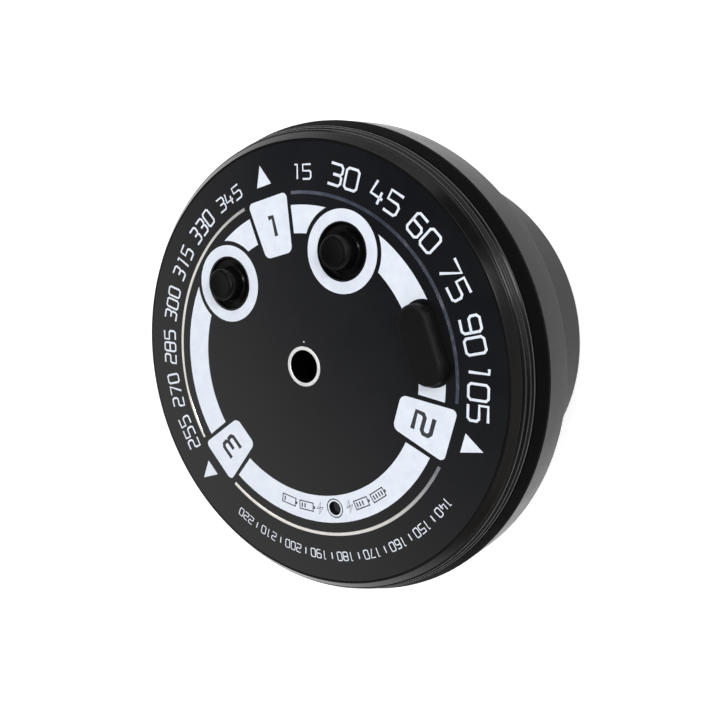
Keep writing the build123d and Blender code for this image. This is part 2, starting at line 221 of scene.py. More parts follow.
def noise(tree, vector, scale, detail=4.0, roughness=0.55):
    """A cloudy pattern, with scale clouds to the millimetre."""
    node = tree.nodes.new("ShaderNodeTexNoise")
    node.inputs["Scale"].default_value = scale
    node.inputs["Detail"].default_value = detail
    node.inputs["Roughness"].default_value = roughness
    tree.links.new(vector, node.inputs["Vector"])
    return node.outputs["Fac"]


def spread(tree, value, low, high, socket, start=0.3, end=0.7):
    """Send a pattern to a shader socket, spread between two values."""
    node = tree.nodes.new("ShaderNodeMapRange")
    node.inputs["From Min"].default_value = start
    node.inputs["From Max"].default_value = end
    node.inputs["To Min"].default_value = low
    node.inputs["To Max"].default_value = high
    tree.links.new(value, node.inputs["Value"])
    tree.links.new(node.outputs["Result"], socket)


def tint(tree, value, dark, light, socket, start=0.3, end=0.7):
    """Send a pattern to a colour socket, from a dark to a light tone."""
    ramp = tree.nodes.new("ShaderNodeValToRGB")
    ramp.color_ramp.elements[0].position = start
    ramp.color_ramp.elements[0].color = (*dark, 1)
    ramp.color_ramp.elements[1].position = end
    ramp.color_ramp.elements[1].color = (*light, 1)
    tree.links.new(value, ramp.inputs["Fac"])
    tree.links.new(ramp.outputs["Color"], socket)


def relief(tree, shader, *layers):
    """Stack bump layers of (pattern, depth in millimetres) on a shader's normal."""
    below = None
    for value, depth in layers:
        node = tree.nodes.new("ShaderNodeBump")
        node.inputs["Distance"].default_value = depth * MM
        tree.links.new(value, node.inputs["Height"])
        if below:
            tree.links.new(below, node.inputs["Normal"])
        below = node.outputs["Normal"]
    tree.links.new(below, shader.inputs["Normal"])


def tool_lines(tree, vector, pitch):
    """Fine lathe lines round the instrument's axis, pitch millimetres apart."""
    node = tree.nodes.new("ShaderNodeTexWave")
    node.wave_type = "BANDS"
    node.bands_direction = "Z"
    node.inputs["Scale"].default_value = math.tau / (20 * pitch)
    node.inputs["Distortion"].default_value = 0.6
    node.inputs["Detail"].default_value = 2.0
    node.inputs["Detail Scale"].default_value = 0.4
    tree.links.new(vector, node.inputs["Vector"])
    return node.outputs["Fac"]


def shades(colour, low, high):
    """A darker and a lighter shade of a colour."""
    return tuple(c * low for c in colour), tuple(c * high for c in colour)


def anodised(name, colour, roughness, lines, ior=1.6):
    """Black anodised aluminium, turned: lathe lines, a fine sheen and faint handling marks."""
    made, tree, shader, vector = new_finish(name)
    shader.inputs["IOR"].default_value = ior
    smudge = noise(tree, vector, 0.18, 5)
    tint(tree, smudge, *shades(colour, 0.75, 1.25), shader.inputs["Base Color"])
    spread(tree, smudge, roughness * 0.85, roughness * 1.2, shader.inputs["Roughness"])
    relief(tree, shader, (tool_lines(tree, vector, 0.16), lines), (noise(tree, vector, 9.0, 3), 0.0010))
    return made


BARREL_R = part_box("barrel")[1].x / MM
BARREL_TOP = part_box("housing")[0].z / MM
SPIGOT_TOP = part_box("barrel")[1].z / MM
THREAD_R = 23.6
THREAD_ROOT_R = 24.0
THREAD_TOP = 4.9
THREAD_PITCH = 0.75
THREAD_TURNS = 6

thread = []
for groove in range(THREAD_TURNS):
    top = THREAD_TOP - groove * THREAD_PITCH
    thread += [(THREAD_R, top), (THREAD_R, top - 0.10),
               (THREAD_ROOT_R, top - 0.38), (THREAD_ROOT_R, top - 0.45)]
barrel_black = anodised("barrel_anodise", (0.0042, 0.0044, 0.0036), 0.26, 0.0006, ior=1.20)
piece("barrel_turned", turn([
    (24.0, 0), (24.82, 0), (24.93, 0.03), (BARREL_R - 0.03, 0.44), (BARREL_R, 0.56),
    (BARREL_R, BARREL_TOP), (25.0, BARREL_TOP), (25.0, BARREL_TOP + 0.5), (24.4, BARREL_TOP + 0.5),
    (24.4, SPIGOT_TOP), (22.9, SPIGOT_TOP), (22.9, 15.9), (22.4, 15.9), (22.4, 9.8), (23.2, 9.8),
    (23.2, 5.0), (THREAD_R, 5.0), *thread, (THREAD_R, 0.4),
]), "case", barrel_black, "anodised_black", "barrel")


# ---- Retaining ring and the two optical discs ------------------------------------
# A thin threaded ring with two spanner slots holds a clear acrylic target disc, whose
# printed circles are aimed at the mirror, and the opal diffuser that lies behind it.
def cut(blank, *tools):
    """The blank bmesh with each tool bmesh cut out of it."""
    held = []
    for shape in (blank, *tools):
        mesh = bpy.data.meshes.new("held")
        shape.to_mesh(mesh)
        shape.free()
        obj = bpy.data.objects.new("held", mesh)
        bpy.context.scene.collection.objects.link(obj)
        held.append(obj)
    for tool in held[1:]:
        knife = held[0].modifiers.new("cut", "BOOLEAN")
        knife.operation = "DIFFERENCE"
        knife.solver = "EXACT"
        knife.object = tool
    bpy.context.view_layer.update()
    done = bmesh.new()
    done.from_object(held[0], bpy.context.evaluated_depsgraph_get())
    for obj in held:
        mesh = obj.data
        bpy.data.objects.remove(obj)
        bpy.data.meshes.remove(mesh)
    bmesh.ops.remove_doubles(done, verts=done.verts, dist=0.0005)
    return done


def box(size, middle, turned=0):
    """A box of size about middle, turned about the upright axis through its own middle."""
    bm = bmesh.new()
    bmesh.ops.create_cube(bm, size=1)
    bmesh.ops.scale(bm, vec=size, verts=bm.verts)
    bmesh.ops.rotate(bm, matrix=Matrix.Rotation(math.radians(turned), 3, "Z"), verts=bm.verts)
    bmesh.ops.translate(bm, vec=middle, verts=bm.verts)
    return bm


def rod(radius, low, high, at=(0, 0), steps=64):
    """An upright round rod."""
    bm = bmesh.new()
    bmesh.ops.create_cone(bm, cap_ends=True, segments=steps,
                          radius1=radius, radius2=radius, depth=high - low)
    bmesh.ops.translate(bm, vec=(*at, (low + high) / 2), verts=bm.verts)
    return bm


def dress(finish, *nodes):
    """Give pieces that keep their machined shape a finish."""
    for node in nodes:
        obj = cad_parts[node]
        if not obj.material_slots:
            obj.data.materials.append(finish)
        for spot in obj.material_slots:
            spot.material = finish


def moulded(name, colour, roughness, grain=0.002, scale=5.0, shine=0.5):
    """Moulded plastic or rubber: an even colour with a fine spark-eroded grain."""
    made, tree, shader, vector = new_finish(name)
    shader.inputs["Specular IOR Level"].default_value = shine
    cloud = noise(tree, vector, 0.35, 4)
    tint(tree, cloud, *shades(colour, 0.88, 1.12), shader.inputs["Base Color"])
    spread(tree, cloud, roughness * 0.9, min(roughness * 1.12, 1.0), shader.inputs["Roughness"])
    relief(tree, shader, (noise(tree, vector, scale, 3, 0.65), grain))
    return made


def clear(name, colour, roughness, through):
    """Clear or milky plastic that passes some of the light, with faint haze."""
    made, tree, shader, vector = new_finish(name)
    shader.inputs["Transmission Weight"].default_value = through
    haze = noise(tree, vector, 0.5, 4)
    tint(tree, haze, *shades(colour, 0.95, 1.0), shader.inputs["Base Color"])
    spread(tree, haze, roughness * 0.8, roughness * 1.3, shader.inputs["Roughness"])
    relief(tree, shader, (noise(tree, vector, 2.0, 2), 0.001))
    return made


RING_LOW, RING_HIGH = (corner.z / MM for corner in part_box("retaining_ring"))
retaining = cut(turn([
    (21.4, RING_LOW), (23.05, RING_LOW), (23.15, RING_LOW + 0.1), (23.15, RING_HIGH), (21.0, RING_HIGH),
]), *[box((3.4, 1.2, 1.8), (side * 22.3, 0, RING_LOW)) for side in (-1, 1)])
soften(retaining, 0.04, 1)
ring_black = anodised("ring_anodise", (0.018, 0.018, 0.018), 0.34, 0.0010)
piece("retaining_ring_turned", retaining, "case", ring_black, "anodised_black", "retaining_ring")

dress(clear("target_acrylic_clear", (0.93, 0.95, 0.95), 0.06, 0.9), "target_disc")
dress(clear("diffuser_opal", (0.90, 0.90, 0.88), 0.45, 0.15), "diffuser")

TARGET_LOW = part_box("target_disc")[0].z / MM
CIRCLE_PRINT = 0.03
circles = []
for radius, width in ((5.0, 0.30), (10.0, 0.20), (15.0, 0.20), (20.0, 0.30)):
    circles.append(turn([
        (radius, TARGET_LOW - CIRCLE_PRINT), (radius + width, TARGET_LOW - CIRCLE_PRINT),
        (radius + width, TARGET_LOW + 0.01), (radius, TARGET_LOW + 0.01),
    ], 96))
for angle in range(0, 360, 90):
    out = Matrix.Rotation(math.radians(angle), 3, "Z") @ Vector((17.5, 0, TARGET_LOW - 0.01))
    circles.append(box((4.2, 0.2, 0.04), out, angle))
target_print = moulded("target_print_black", (0.02, 0.02, 0.02), 0.5)
piece("target_circles", gather(circles), "case", target_print, "target_acrylic")


# ---- Light chamber ---------------------------------------------------------------
# Twelve white lamps are soldered to the underside of a white board, and a thin white
# moulded cone round them sends their light down through the diffuser.
def metal(name, colour, roughness, scratch=0.0012):
    """Bare or plated metal with fine brushing and small changes in polish."""
    made, tree, shader, vector = new_finish(name)
    shader.inputs["Metallic"].default_value = 1.0
    patch = noise(tree, vector, 0.8, 5)
    tint(tree, patch, *shades(colour, 0.85, 1.0), shader.inputs["Base Color"])
    spread(tree, patch, roughness * 0.7, roughness * 1.3, shader.inputs["Roughness"])
    relief(tree, shader, (noise(tree, vector, 14.0, 2), scratch))
    return made


def board(name, mask, track):
    """A circuit board: solder mask over a grid of copper tracks, with a faint glass weave."""
    made, tree, shader, vector = new_finish(name)
    cells = tree.nodes.new("ShaderNodeTexBrick")
    cells.inputs["Scale"].default_value = 0.55
    cells.inputs["Mortar Size"].default_value = 0.05
    cells.inputs["Color1"].default_value = (*mask, 1)
    cells.inputs["Color2"].default_value = (*shades(mask, 0.8, 1.0)[0], 1)
    cells.inputs["Mortar"].default_value = (*track, 1)
    tree.links.new(vector, cells.inputs["Vector"])
    tree.links.new(cells.outputs["Color"], shader.inputs["Base Color"])
    spread(tree, noise(tree, vector, 1.2, 3), 0.28, 0.42, shader.inputs["Roughness"])
    relief(tree, shader, (cells.outputs["Fac"], 0.02), (noise(tree, vector, 6.0, 2), 0.002))
    return made


dress(moulded("reflector_white", (0.86, 0.86, 0.84), 0.45), "light_reflector")
dress(board("light_board_white", (0.80, 0.80, 0.78), (0.62, 0.62, 0.60)), "light_board")
dress(moulded("lamp_white", (0.88, 0.84, 0.55), 0.35), "white_leds")


# ---- Battery and its tray --------------------------------------------------------
# A small flat cell in silver film lies in a moulded tray, under a strip of foam. Its
# two leads run to a white plug in a socket on the underside of the main board.
dress(moulded("tray_black", (0.035, 0.035, 0.037), 0.5), "battery_tray")
dress(metal("cell_film", (0.62, 0.64, 0.67), 0.32, 0.006), "battery")
dress(moulded("pad_foam", (0.10, 0.10, 0.11), 0.95, 0.08, 2.5), "battery_pad")
dress(moulded("lead_red", (0.45, 0.02, 0.02), 0.4), "battery_leads")
dress(moulded("plug_white", (0.78, 0.77, 0.72), 0.42), "battery_plug", "battery_socket")


# ---- Main board ------------------------------------------------------------------
# A green round board on three brass spacers, held by three cross-head screws. It has
# the charging chip, the controller, an inductor, capacitors and the charge light.
dress(board("main_board_green", (0.010, 0.085, 0.035), (0.02, 0.17, 0.07)), "main_board")
dress(metal("spacer_brass", (0.74, 0.55, 0.24), 0.30), "board_spacers", "link_pins")
dress(metal("screw_steel", (0.62, 0.62, 0.62), 0.28), "board_screws")
dress(moulded("chip_black_epoxy", (0.022, 0.022, 0.024), 0.55),
      "link_header", "charge_chip", "controller_chip")
dress(moulded("inductor_ferrite", (0.05, 0.045, 0.042), 0.7, 0.02), "inductor")
dress(moulded("capacitor_ceramic", (0.42, 0.29, 0.17), 0.4), "capacitors")
dress(clear("status_lamp_clear", (0.85, 0.87, 0.80), 0.15, 0.5), "status_led")
dress(clear("light_pipe_smoky", (0.012, 0.012, 0.014), 0.12, 0.3), "light_pipe")


# ---- Switches --------------------------------------------------------------------
# Each of the two tact switches is a moulded case with a sprung steel dome under a
# black plunger, soldered on the main board below its button. The dome is built at rest;
# pressed, it flattens to a little over half its height.
dome_outline = [
    (0, 0.50), (0.5, 0.495), (1.0, 0.44), (1.5, 0.30), (1.9, 0.13), (2.08, 0),
    (2.15, 0), (2.15, 0.10), (1.98, 0.22), (1.55, 0.41), (1.03, 0.56), (0.5, 0.615), (0, 0.62),
]
dome_steel = metal("dome_steel", (0.70, 0.69, 0.66), 0.25)
for side in ("left", "right"):
    dress(moulded(f"switch_case_black_{side}", (0.030, 0.030, 0.032), 0.5), f"switch_case_{side}")
    dress(moulded(f"plunger_black_{side}", (0.020, 0.020, 0.020), 0.4), f"switch_plunger_{side}")
    low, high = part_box(f"switch_dome_{side}")
    foot = ((low.x + high.x) / 2, (low.y + high.y) / 2, low.z)
    outline = [(radius, low.z / MM + rise) for radius, rise in dome_outline]
    dome = turn(outline, 96, (foot[0] / MM, foot[1] / MM))
    sprung = piece(f"dome_sprung_{side}", dome, "case", dome_steel, "bright_steel", f"switch_dome_{side}")
    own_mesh(sprung)


# ---- Housing ---------------------------------------------------------------------
# The cup that carries everything, turned from aluminium bar and black anodised. The
# barrel's shoulder sits in a recess below it, and its neck takes the grip band.
HOUSING_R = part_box("housing")[1].x / MM
BAND_LOW = (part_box("grip_band")[0].z / MM) - 0.02
BAND_HIGH = (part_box("grip_band")[1].z / MM) + 0.02
HOUSING_FLOOR = SPIGOT_TOP

housing_black = anodised("housing_anodise", (0.0042, 0.0044, 0.0036), 0.26, 0.0006, ior=1.20)
housing = turn([
    (BARREL_R + 0.05, BARREL_TOP), (HOUSING_R - 0.25, BARREL_TOP), (HOUSING_R - 0.06, BARREL_TOP + 0.07),
    (HOUSING_R, BARREL_TOP + 0.25), (HOUSING_R, BAND_LOW - 0.12), (HOUSING_R - 0.10, BAND_LOW),
    (29.9, BAND_LOW), (29.9, BAND_HIGH - 0.05), (28.4, BAND_HIGH - 0.05), (28.4, HOUSING_FLOOR),
    (24.45, HOUSING_FLOOR), (24.45, BARREL_TOP + 0.5), (BARREL_R + 0.05, BARREL_TOP + 0.5),
])
piece("housing_turned", housing, "case", housing_black, "anodised_black", "housing")


# ---- Grip band -------------------------------------------------------------------
# A moulded rubber ring, stretched over the housing's neck before the bezel goes on.
# It tapers from the housing up to the narrower bezel, and its skin is matt.
BAND_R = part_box("grip_band")[1].x / MM
BEZEL_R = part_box("bezel_ring")[1].x / MM

band_rubber = moulded("band_rubber_black", (0.0016, 0.0016, 0.0016), 0.62, 0.003, 4.0, 0.022)
band = turn([
    (29.95, BAND_LOW + 0.02), (BAND_R - 0.12, BAND_LOW + 0.02), (BAND_R - 0.03, BAND_LOW + 0.08),
    (BAND_R, BAND_LOW + 0.22), (BAND_R - 0.04, BAND_LOW + 0.40), (BAND_R - 0.14, BAND_LOW + 0.62),
    (BEZEL_R + 0.12, BAND_HIGH - 0.20), (BEZEL_R + 0.03, BAND_HIGH - 0.06),
    (BEZEL_R - 0.08, BAND_HIGH - 0.02), (29.95, BAND_HIGH - 0.02),
])
piece("grip_band_moulded", band, "case", band_rubber, "band_rubber", "grip_band")


# ---- Bezel ring ------------------------------------------------------------------
# Turned from aluminium bar and black anodised. Its bright-cut chamfer leads down to
# two fine ridges, and its inner spigot screws into the housing over the grip band.
FACE_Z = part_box("face_plate")[1].z / MM
PLATE_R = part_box("face_plate")[1].x / MM
BEZEL_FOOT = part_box("bezel_ring")[0].z / MM

bezel_outline = [
    (PLATE_R + 0.06, 0), (PLATE_R + 0.28, 0), (BEZEL_R - 0.78, 0.92),
    (BEZEL_R - 0.80, 1.00), (BEZEL_R - 0.68, 1.06), (BEZEL_R - 0.50, 1.18), (BEZEL_R - 0.46, 1.34),
    (BEZEL_R - 0.50, 1.52), (BEZEL_R - 0.56, 1.62), (BEZEL_R - 0.48, 1.72), (BEZEL_R - 0.27, 1.80),
    (BEZEL_R - 0.20, 1.92), (BEZEL_R - 0.20, 2.10), (BEZEL_R - 0.26, 2.20), (BEZEL_R - 0.16, 2.30),
    (BEZEL_R - 0.02, 2.38), (BEZEL_R, 2.50), (BEZEL_R, 2.80), (BEZEL_R - 0.10, 2.9),
    (28.33, 2.9), (28.33, FACE_Z - BEZEL_FOOT), (27.2, FACE_Z - BEZEL_FOOT),
    (27.2, 1.55), (PLATE_R + 0.06, 1.55),
]
bezel = turn([(r, FACE_Z - down) for r, down in bezel_outline])
soften(bezel, 0.05)
bezel_black = anodised("bezel_anodise", (0.0038, 0.0033, 0.0028), 0.19, 0.0015, ior=1.29)
piece("bezel_ring_turned", bezel, "case", bezel_black, "anodised_black", "bezel_ring")


# ---- Face plate ------------------------------------------------------------------
# A flat aluminium disc, satin black, stuck on the bezel's ledge with a ring of tape.
# Holes are cut in it for the two buttons, the sight tube, the port and the light.
plate_black, tree, shader, vector = new_finish("plate_satin_black")
shader.inputs["IOR"].default_value = 1.5
wipe = noise(tree, vector, 0.10, 6, 0.6)
tint(tree, wipe, (0.0028, 0.0028, 0.0030), (0.0045, 0.0045, 0.0048), shader.inputs["Base Color"])
spread(tree, wipe, 0.18, 0.25, shader.inputs["Roughness"])
relief(tree, shader, (noise(tree, vector, 7.0, 4, 0.7), 0.0008))
dress(plate_black, "face_plate")
dress(moulded("tape_grey", (0.30, 0.30, 0.31), 0.7), "plate_tape")


# ---- Printed ring, tabs and triangles --------------------------------------------
# The marks are silver ink, baked on the plate a few hundredths of a millimetre thick:
# a wide ring, a collar round each button, three numbered tabs and their triangles.
INK = 0.03
INK_LOW = FACE_Z - 0.01
INK_HIGH = FACE_Z + INK
RING_INNER, RING_OUTER = 17.42, 21.05
BUTTON_RING_R = 16.5
BUTTON_ANGLES = {"left": 126.95, "right": 53.05}
COLLAR_INNER, COLLAR_OUTER, COLLAR_GAP_R = 3.78, 5.3, 5.9
TAB_ANGLES = (90, 330, 210)
TAB_R = 18.75
TRIANGLE_R = 25.6
GAP = 0.6
PORT_GAP_R, PORT_GAP_REACH = 2.95, 2.4
STATUS_GAP_R = 1.32
PORT_X = (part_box("port_cover")[0].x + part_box("port_cover")[1].x) / 2 / MM
STATUS_Y = (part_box("light_pipe")[0].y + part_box("light_pipe")[1].y) / 2 / MM


def polar(radius, angle):
    """The point on the face at a radius and an angle in degrees."""
    return radius * math.cos(math.radians(angle)), radius * math.sin(math.radians(angle))


def flat_ring(inner, outer, low, high, at=(0, 0), steps=ROUND_STEPS, start=0, arc=360):
    """A washer, or an arc of one."""
    return turn([(inner, low), (outer, low), (outer, high), (inner, high)], steps, at, start, arc)


def uprights(bm, rise):
    """The edges that climb more than rise."""
    return [e for e in bm.edges if abs(e.verts[0].co.z - e.verts[1].co.z) > rise]


def plaque(corners, low, high, rounding=0.0):
    """A flat raised shape from its corners, with rounded upright edges."""
    bm = bmesh.new()
    face = bm.faces.new([bm.verts.new((x, y, low)) for x, y in corners])
    grown = bmesh.ops.extrude_face_region(bm, geom=[face])
    raised = [v for v in grown["geom"] if isinstance(v, bmesh.types.BMVert)]
    bmesh.ops.translate(bm, vec=(0, 0, high - low), verts=raised)
    if rounding:
        round_edges(bm, uprights(bm, (high - low) / 2), rounding, 6)
    bmesh.ops.recalc_face_normals(bm, faces=bm.faces)
    return bm


def placed(bm, radius, angle, tops_out=True):
    """Set a shape drawn about the origin on the face, with its top outwards or inwards."""
    turned = angle - 90 if tops_out else angle + 90
    bmesh.ops.rotate(bm, matrix=Matrix.Rotation(math.radians(turned), 3, "Z"), verts=bm.verts)
    bmesh.ops.translate(bm, vec=(*polar(radius, angle), 0), verts=bm.verts)
    return bm


def tab(grow, low, high):
    """A tab's outline, wider at its outer end, about its own middle."""
    outer, inner, half = 3.4 + grow, 2.25 + grow, 3.85 + grow
    return plaque([(-outer, half), (-inner, -half), (inner, -half), (outer, half)], low, high, 0.8 + grow)


through = (INK_LOW - 1, INK_HIGH + 1)
tools = [rod(COLLAR_GAP_R, *through, polar(BUTTON_RING_R, angle), 96)
         for angle in BUTTON_ANGLES.values()]
tools += [placed(tab(GAP, *through), TAB_R, angle) for angle in TAB_ANGLES]
tools.append(rod(STATUS_GAP_R, *through, (0, STATUS_Y), 48))
tools += [rod(PORT_GAP_R, *through, (PORT_X, end), 48) for end in (-PORT_GAP_REACH, PORT_GAP_REACH)]
tools.append(box((2 * PORT_GAP_R, 2 * PORT_GAP_REACH, 4), (PORT_X, 0, FACE_Z)))
marks = [cut(flat_ring(RING_INNER, RING_OUTER, INK_LOW, INK_HIGH), *tools)]
marks.append(flat_ring(0.95, 1.16, INK_LOW, INK_HIGH, (0, STATUS_Y), 48))
marks.append(rod(0.11, INK_LOW, INK_HIGH, polar(3.3, 74), 12))
for angle in BUTTON_ANGLES.values():
    marks.append(flat_ring(COLLAR_INNER, COLLAR_OUTER, INK_LOW, INK_HIGH,
                           polar(BUTTON_RING_R, angle), 96))
for angle in TAB_ANGLES:
    marks.append(placed(tab(0, INK_LOW, INK_HIGH), TAB_R, angle))
    marks.append(placed(plaque([(-1.25, -1.35), (1.25, -1.35), (0, 1.35)], INK_LOW, INK_HIGH),
                        TRIANGLE_R, angle))

silver_ink, tree, shader, vector = new_finish("silver_ink")
shader.inputs["Metallic"].default_value = 0.12
flake = noise(tree, vector, 0.55, 8, 0.72)
tint(tree, flake, (0.80, 0.85, 0.93), (0.88, 0.93, 0.99), shader.inputs["Base Color"], 0.35, 0.65)
spread(tree, flake, 0.40, 0.55, shader.inputs["Roughness"])
relief(tree, shader, (noise(tree, vector, 12.0, 3), 0.002))
piece("silver_marks", gather(marks), "case", silver_ink, "plate_black")


# ---- Bright line -----------------------------------------------------------------
# A narrow strip of polished metal is inlaid outside the ring in three arcs, with a
# gap for each tab. Its top leans outwards, so it mirrors the room in changing tones.
LINE_R = 22.6
LINE_HALF = 0.215
LINE_GAP = 10.6

strip = [(LINE_R - LINE_HALF, INK_LOW), (LINE_R + LINE_HALF, INK_LOW), (LINE_R + LINE_HALF, INK_HIGH),
         (LINE_R - LINE_HALF + 0.03, INK_HIGH + 0.045), (LINE_R - LINE_HALF, INK_HIGH)]
line_metal = metal("line_bright", (1.0, 0.97, 0.92), 0.14, 0.0012)
line = gather([turn(strip, 96, (0, 0), angle + LINE_GAP, 120 - 2 * LINE_GAP)
               for angle in TAB_ANGLES])
piece("bright_line", line, "case", line_metal, "bright_steel")


# ---- Dial numbers and ticks ------------------------------------------------------
# Degrees round the rim, clockwise from the twelve o'clock mark: large every fifteen
# at the sides and the top, small every ten with ticks between them below. They are
# strokes of silver ink.
LARGE_R, MIDDLE_R, SMALL_R = 25.25, 25.15, 25.60
TICK_SIZE = (0.16, 0.9, INK_HIGH - INK_LOW)
ROUNDED = [(0.16, 0), (0, 0.12), (0, 0.88), (0.16, 1), (0.84, 1), (1, 0.88), (1, 0.12), (0.84, 0),
           (0.16, 0)]
DIGITS = {
    "0": [ROUNDED],
    "1": [[(0.30, 1), (0.62, 1), (0.62, 0)]],
    "2": [[(0, 1), (0.84, 1), (1, 0.88), (1, 0.62), (0.84, 0.5), (0.16, 0.5), (0, 0.38), (0, 0), (1, 0)]],
    "3": [[(0, 1), (0.84, 1), (1, 0.88), (1, 0.62), (0.86, 0.5), (1, 0.38), (1, 0.12), (0.84, 0), (0, 0)],
          [(0.3, 0.5), (0.86, 0.5)]],
    "4": [[(0.12, 1), (0, 0.32), (1, 0.32)], [(0.76, 0.62), (0.76, 0)]],
    "5": [[(1, 1), (0, 1), (0, 0.56), (0.84, 0.56), (1, 0.44), (1, 0.12), (0.84, 0), (0, 0)]],
    "6": [[(0.9, 1), (0.16, 1), (0, 0.88), (0, 0.12), (0.16, 0), (0.84, 0), (1, 0.12), (1, 0.44),
           (0.84, 0.56), (0, 0.56)]],
    "7": [[(0, 1), (1, 1), (0.36, 0)]],
    "8": [ROUNDED, [(0, 0.52), (1, 0.52)]],
    "9": [[(0.1, 0), (0.84, 0), (1, 0.12), (1, 0.88), (0.84, 1), (0.16, 1), (0, 0.88), (0, 0.58),
           (0.16, 0.46), (1, 0.46)]],
}


def pen(lines, size, width, low=INK_LOW, high=INK_HIGH):
    """Raised pen strokes about the origin, from lines drawn in a box one wide and one high."""
    curve = bpy.data.curves.new("strokes", "CURVE")
    curve.dimensions = "3D"
    curve.bevel_depth = width / 2
    curve.bevel_resolution = 1
    curve.use_fill_caps = True
    for points in lines:
        spline = curve.splines.new("POLY")
        closed = points[0] == points[-1]
        kept = points[:-1] if closed else points
        spline.points.add(len(kept) - 1)
        for spot, (x, y) in zip(spline.points, kept):
            spot.co = ((x - 0.5) * size[0], (y - 0.5) * size[1], 0, 1)
        spline.use_cyclic_u = closed
    obj = bpy.data.objects.new("strokes", curve)
    mesh = bpy.data.meshes.new_from_object(obj)
    bm = bmesh.new()
    bm.from_mesh(mesh)
    bpy.data.objects.remove(obj)
    bpy.data.curves.remove(curve)
    bpy.data.meshes.remove(mesh)
    bmesh.ops.remove_doubles(bm, verts=bm.verts, dist=0.0001)
    bmesh.ops.scale(bm, vec=(1, 1, (high - low) / width), verts=bm.verts)
    bmesh.ops.translate(bm, vec=(0, 0, (low + high) / 2), verts=bm.verts)
    bmesh.ops.recalc_face_normals(bm, faces=bm.faces)
    return bm


def number(value, height, radius, angle, broad=0.70, weight=0.135, low=INK_LOW, high=INK_HIGH):
    """A number on the face with its top outwards."""
    text = str(value)
    wide = height * broad
    step = wide + height * 0.23
    parts = []
    for place, digit in enumerate(text):
        glyph = pen(DIGITS[digit], (wide, height), height * weight, low, high)
        bmesh.ops.translate(glyph, vec=((place - (len(text) - 1) / 2) * step, 0, 0), verts=glyph.verts)
        parts.append(glyph)
    return placed(gather(parts), radius, angle)


numbers = [number(value, 2.55, LARGE_R, 90 - value, 0.74) for value in range(30, 106, 15)]
numbers += [number(value, 2.25, LARGE_R, 90 - value, 0.56) for value in range(255, 331, 15)]
numbers += [number(value, 1.80, MIDDLE_R, 90 - value, 0.70) for value in (15, 345)]
numbers += [number(value, 1.15, SMALL_R, 90 - value, 0.62) for value in range(140, 230, 10)]
ticks = []
for angle in range(0, 360, 5):
    label = (90 - angle) % 360
    near_tab = any(abs((angle - spot + 180) % 360 - 180) < 8 for spot in TAB_ANGLES)
    if label % 10 == 5 and 140 < label < 220 and not near_tab:
        ticks.append(placed(box(TICK_SIZE, (0, 0, (INK_LOW + INK_HIGH) / 2)), SMALL_R, angle))
piece("dial_numbers", gather(numbers), "case", silver_ink, "plate_black")
piece("dial_ticks", gather(ticks), "case", silver_ink, "plate_black")


# ---- Dark marks on the silver ----------------------------------------------------
# A second, dark ink goes over the silver: the three tab numbers, a hairline round the
# charge light, and a cell and a bolt on each side of it for charging and charged.
DARK_LOW = INK_HIGH - 0.01
DARK_HIGH = INK_HIGH + 0.012
BOLT = [[(0.62, 1), (0.18, 0.45), (0.52, 0.52), (0.36, 0), (0.84, 0.60), (0.48, 0.52), (0.62, 1)]]
CELL = [[(0, 0.06), (0, 0.94), (0.9, 0.94), (0.9, 0.06), (0, 0.06)], [(0.98, 0.36), (0.98, 0.64)]]

CHARGE_R = 19.15

dark = [number(index + 1, 2.55, TAB_R, angle, 0.92, 0.23, DARK_LOW, DARK_HIGH)
        for index, angle in enumerate(TAB_ANGLES)]
for angle, bars in ((247, 1), (256, 2), (284, 3), (293, 4)):
    bar_lines = [[(0.16 + 0.19 * bar, 0.26), (0.16 + 0.19 * bar, 0.74)] for bar in range(bars)]
    cell = pen(CELL + bar_lines, (2.5, 1.3), 0.22, DARK_LOW, DARK_HIGH)
    dark.append(placed(cell, CHARGE_R, angle, False))
for angle in (262.5, 277.5):
    bolt = pen(BOLT, (1.6, 1.7), 0.20, DARK_LOW, DARK_HIGH)
    dark.append(placed(bolt, CHARGE_R, angle, False))
dark_ink = moulded("dark_ink", (0.028, 0.030, 0.036), 0.45)
piece("dark_marks", gather(dark), "case", dark_ink, "plate_black")


# ---- Sight tube ------------------------------------------------------------------
# A bright turned tube down the middle, flanged on the main board. The bore that the
# eye looks through is coloured near black as painted shade, and its rim is left polished.
TUBE_R = 2.67
TUBE_BORE = 2.2
TUBE_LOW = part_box("sight_tube")[0].z / MM
FLANGE_R = 4.0
FLANGE_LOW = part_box("main_board")[1].z / MM
FLANGE_HIGH = FLANGE_LOW + 0.8

tube = turn([
    (TUBE_BORE, TUBE_LOW), (TUBE_R, TUBE_LOW), (TUBE_R, FLANGE_LOW), (FLANGE_R, FLANGE_LOW),
    (FLANGE_R, FLANGE_HIGH), (TUBE_R, FLANGE_HIGH), (TUBE_R, FACE_Z + 0.02), (TUBE_R - 0.07, FACE_Z + 0.07),
    (TUBE_BORE + 0.15, FACE_Z + 0.07), (TUBE_BORE, FACE_Z),
], 96)
for face in tube.faces:
    if face.calc_center_median().xy.length < TUBE_BORE + 0.01:
        face.material_index = 1
rim_metal, tree, shader, vector = new_finish("tube_rim_bright")
shader.inputs["Metallic"].default_value = 0.35
polish = noise(tree, vector, 1.5, 4)
tint(tree, polish, (0.86, 0.85, 0.82), (0.95, 0.94, 0.92), shader.inputs["Base Color"])
spread(tree, polish, 0.25, 0.4, shader.inputs["Roughness"])
# Painted shade: the bore wall's near-black colour stands for the shade down the narrow tube.
bore_shade_black = moulded("bore_shade_black", (0.0008, 0.0008, 0.0008), 0.75, shine=0.02)
piece("sight_tube_turned", tube, "case", (rim_metal, bore_shade_black), "bright_steel", "sight_tube")


